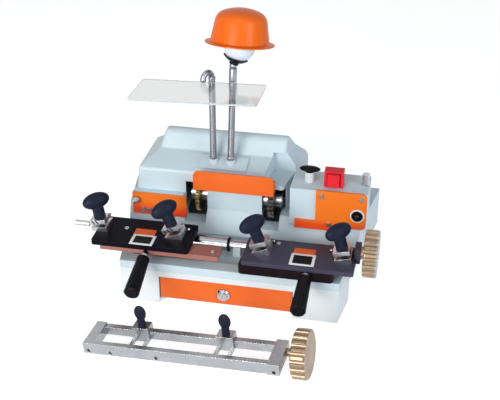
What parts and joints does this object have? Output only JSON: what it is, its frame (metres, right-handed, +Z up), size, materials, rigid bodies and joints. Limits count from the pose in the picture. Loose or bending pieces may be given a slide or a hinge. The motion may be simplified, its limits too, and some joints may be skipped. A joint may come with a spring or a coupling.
{
  "type": "key duplicating machine",
  "caption": "Bench key cutting machine: swing carriages with wing-knob key vises on a guide shaft, hooded cutters, drawer base, lamp, clear shield and a loose clamp frame.",
  "frame": {"origin": "on the bench, at the centre of the cabinet's four foot screw holes", "axes": "+X to the operator's right along the guide shaft, +Y from the operator toward the hood, +Z up"},
  "size_m": [0.487, 0.435, 0.4453],
  "materials": {
    "body_paint": "smooth semi-gloss pale blue-grey enamel",
    "casting_paint": "smooth semi-gloss pale blue-grey enamel over a cast alloy",
    "orange_paint": "gloss orange enamel",
    "arm_paint": "semi-gloss salmon enamel",
    "black_plate": "satin black oxide",
    "black_plastic": "moulded black phenolic",
    "steel": "ground steel",
    "chrome": "polished chrome",
    "brass": "satin brass",
    "rubber": "moulded black rubber",
    "red_plastic": "translucent red",
    "clear_sheet": "clear acrylic",
    "bulb_glass": "frosted white",
    "shade_orange": "gloss orange",
    "motor_paint": "grey enamel"
  },
  "bodies": {
    "machine": {"base_cabinet": "casting_paint", "rubber_feet": "rubber", "bed_casting": "casting_paint", "hood": "body_paint", "cutter_guard": "orange_paint", "tracer_blocks": "casting_paint", "front_panels": "orange_paint", "spindle_bearings": "steel", "motor": "motor_paint", "drive_belt": "rubber", "guide_shaft": "chrome", "post_plate": "chrome", "lamp_neck": "chrome", "mains_inlet": "black_plastic", "switch_bezel": "black_plastic", "panel_screws": "steel"},
    "spindle": {"spindle": "steel", "left_cutter": "brass", "right_cutter": "steel", "spindle_pulley": "steel"},
    "motor_rotor": {"motor_pulley": "steel"},
    "drawer": {"drawer_front": "orange_paint", "drawer_tray": "steel", "drawer_knob": "chrome"},
    "left_slide": {"left_sleeve": "chrome"},
    "left_carriage": {"left_arm": "arm_paint", "left_plate": "black_plate", "left_handle": "black_plastic", "left_lower_jaws": "chrome"},
    "left_outer_jaw": {"left_jaw_outer": "chrome"},
    "left_outer_knob": {"left_knob_outer": "black_plastic"},
    "left_inner_jaw": {"left_jaw_inner": "chrome"},
    "left_inner_knob": {"left_knob_inner": "black_plastic"},
    "right_slide": {"right_sleeve": "chrome"},
    "right_carriage": {"right_arm": "black_plate", "right_plate": "black_plate", "right_handle": "black_plastic", "right_lower_jaws": "chrome"},
    "right_inner_jaw": {"right_jaw_inner": "chrome"},
    "right_inner_knob": {"right_knob_inner": "black_plastic"},
    "right_outer_jaw": {"right_jaw_outer": "chrome"},
    "right_outer_knob": {"right_knob_outer": "black_plastic"},
    "gauge": {"gauge_rod": "steel"},
    "index_wheel": {"index_wheel": "brass"},
    "rocker": {"switch_rocker": "red_plastic"},
    "tracer_wing": {"tracer_wing": "black_plastic"},
    "adjuster": {"adjust_pin": "steel"},
    "left_tracer": {"left_tracer": "steel"},
    "right_tracer": {"right_tracer": "black_plate"},
    "lamp_head": {"lamp_cup": "black_plastic", "lamp_bulb": "bulb_glass", "lamp_shade": "shade_orange"},
    "shield_post": {"shield_post": "chrome"},
    "shield_pane": {"shield_pane": "clear_sheet"},
    "fixture": {"fixture_frame": "steel"},
    "fixture_wheel": {"fixture_wheel": "brass"},
    "fixture_clamp_left": {"fixture_clamp_left": "steel"},
    "fixture_screw_left": {"fixture_screw_left": "black_plastic"},
    "fixture_clamp_right": {"fixture_clamp_right": "steel"},
    "fixture_screw_right": {"fixture_screw_right": "black_plastic"}
  },
  "joints": [
    {"name": "spindle_spin", "type": "hinge", "parent": "machine", "child": "spindle", "pos_m": [0, 0.022, 0.126], "axis": [1, 0, 0], "continuous": true},
    {"name": "rotor_spin", "type": "hinge", "parent": "machine", "child": "motor_rotor", "pos_m": [0, 0.086, 0.15], "axis": [1, 0, 0], "continuous": true},
    {"name": "drawer_slide", "type": "slide", "parent": "machine", "child": "drawer", "axis": [0, -1, 0], "range_m": [0, 0.085]},
    {"name": "left_carriage_slide", "type": "slide", "parent": "machine", "child": "left_slide", "axis": [1, 0, 0], "range_m": [-0.025, 0]},
    {"name": "left_carriage_swing", "type": "hinge", "parent": "left_slide", "child": "left_carriage", "pos_m": [0, -0.064, 0.084], "axis": [-1, 0, 0], "range_deg": [0, 30]},
    {"name": "left_outer_jaw_slide", "type": "slide", "parent": "left_carriage", "child": "left_outer_jaw", "axis": [-0.1564, 0, 0.9877], "range_m": [-0.005, 0.0015]},
    {"name": "left_outer_knob_turn", "type": "hinge", "parent": "left_outer_jaw", "child": "left_outer_knob", "pos_m": [-0.213, -0.092, 0.11], "axis": [-0.1564, 0, 0.9877], "range_deg": [-600, 180]},
    {"name": "left_inner_jaw_slide", "type": "slide", "parent": "left_carriage", "child": "left_inner_jaw", "axis": [-0.3746, 0, 0.9272], "range_m": [-0.005, 0.0015]},
    {"name": "left_inner_knob_turn", "type": "hinge", "parent": "left_inner_jaw", "child": "left_inner_knob", "pos_m": [-0.091, -0.092, 0.11], "axis": [-0.3746, 0, 0.9272], "range_deg": [-600, 180]},
    {"name": "right_carriage_slide", "type": "slide", "parent": "machine", "child": "right_slide", "axis": [1, 0, 0], "range_m": [-0.012, 0.025]},
    {"name": "right_carriage_swing", "type": "hinge", "parent": "right_slide", "child": "right_carriage", "pos_m": [0, -0.064, 0.084], "axis": [-1, 0, 0], "range_deg": [0, 30]},
    {"name": "right_inner_jaw_slide", "type": "slide", "parent": "right_carriage", "child": "right_inner_jaw", "axis": [-0.3584, 0, 0.9336], "range_m": [-0.005, 0.0015]},
    {"name": "right_inner_knob_turn", "type": "hinge", "parent": "right_inner_jaw", "child": "right_inner_knob", "pos_m": [0.05, -0.097, 0.1025], "axis": [-0.3584, 0, 0.9336], "range_deg": [-600, 180]},
    {"name": "right_outer_jaw_slide", "type": "slide", "parent": "right_carriage", "child": "right_outer_jaw", "axis": [-0.2419, 0, 0.9703], "range_m": [-0.005, 0.0015]},
    {"name": "right_outer_knob_turn", "type": "hinge", "parent": "right_outer_jaw", "child": "right_outer_knob", "pos_m": [0.178, -0.097, 0.1025], "axis": [-0.2419, 0, 0.9703], "range_deg": [-600, 180]},
    {"name": "gauge_turn", "type": "hinge", "parent": "left_carriage", "child": "gauge", "pos_m": [-0.258, -0.092, 0.1134], "axis": [1, 0, 0], "continuous": true},
    {"name": "index_wheel_turn", "type": "hinge", "parent": "right_carriage", "child": "index_wheel", "pos_m": [0.207, -0.085, 0.108], "axis": [1, 0, 0], "continuous": true},
    {"name": "switch_rock", "type": "hinge", "parent": "machine", "child": "rocker", "pos_m": [0.1455, 0.0088, 0.182], "axis": [1, 0, 0], "range_deg": [-6, 6]},
    {"name": "tracer_wing_turn", "type": "hinge", "parent": "machine", "child": "tracer_wing", "pos_m": [0.105, 0.02, 0.19], "axis": [0, 0, 1], "range_deg": [-180, 180]},
    {"name": "adjuster_turn", "type": "hinge", "parent": "machine", "child": "adjuster", "pos_m": [0.1955, 0.023, 0.188], "axis": [0, 0, 1], "continuous": true},
    {"name": "left_tracer_slide", "type": "slide", "parent": "machine", "child": "left_tracer", "axis": [0, 1, 0], "range_m": [-0.0025, 0.0015]},
    {"name": "right_tracer_slide", "type": "slide", "parent": "machine", "child": "right_tracer", "axis": [0, 1, 0], "range_m": [-0.003, 0.0004]},
    {"name": "lamp_tilt", "type": "hinge", "parent": "machine", "child": "lamp_head", "pos_m": [-0.02105, 0.024, 0.35641], "axis": [1, 0, 0], "range_deg": [-20, 25]},
    {"name": "shield_swivel", "type": "hinge", "parent": "machine", "child": "shield_post", "pos_m": [-0.0555, 0.024, 0.192], "axis": [0, 0, 1], "range_deg": [-45, 5]},
    {"name": "shield_tilt", "type": "hinge", "parent": "shield_post", "child": "shield_pane", "pos_m": [-0.06582, 0.00925, 0.335], "axis": [-1, 0, 0], "range_deg": [-20, 30]},
    {"name": "fixture_slide", "type": "slide", "parent": "machine", "child": "fixture", "axis": [0, -1, 0], "range_m": [0, 0.15]},
    {"name": "fixture_wheel_turn", "type": "hinge", "parent": "fixture", "child": "fixture_wheel", "pos_m": [0.12886, -0.26025, 0.03778], "axis": [0.9919, -0.0885, 0.0906], "continuous": true},
    {"name": "clamp_left_slide", "type": "slide", "parent": "fixture", "child": "fixture_clamp_left", "axis": [0.9919, -0.0885, 0.0906], "range_m": [-0.045, 0.05]},
    {"name": "screw_left_turn", "type": "hinge", "parent": "fixture_clamp_left", "child": "fixture_screw_left", "pos_m": [-0.11166, -0.22975, 0.04084], "axis": [-0.0903, 0.0081, 0.9959], "continuous": true},
    {"name": "clamp_right_slide", "type": "slide", "parent": "fixture", "child": "fixture_clamp_right", "axis": [0.9919, -0.0885, 0.0906], "range_m": [-0.05, 0.06]},
    {"name": "screw_right_turn", "type": "hinge", "parent": "fixture_clamp_right", "child": "fixture_screw_right", "pos_m": [0.02126, -0.24161, 0.05298], "axis": [-0.0903, 0.0081, 0.9959], "continuous": true}
  ],
  "couplings": [
    {"joint": "rotor_spin", "follows": "spindle_spin", "ratio": 1},
    {"joint": "left_outer_knob_turn", "follows": "left_outer_jaw_slide", "rad_per_m": 2094.4},
    {"joint": "left_inner_knob_turn", "follows": "left_inner_jaw_slide", "rad_per_m": 2094.4},
    {"joint": "right_inner_knob_turn", "follows": "right_inner_jaw_slide", "rad_per_m": 2094.4},
    {"joint": "right_outer_knob_turn", "follows": "right_outer_jaw_slide", "rad_per_m": 2094.4}
  ]
}
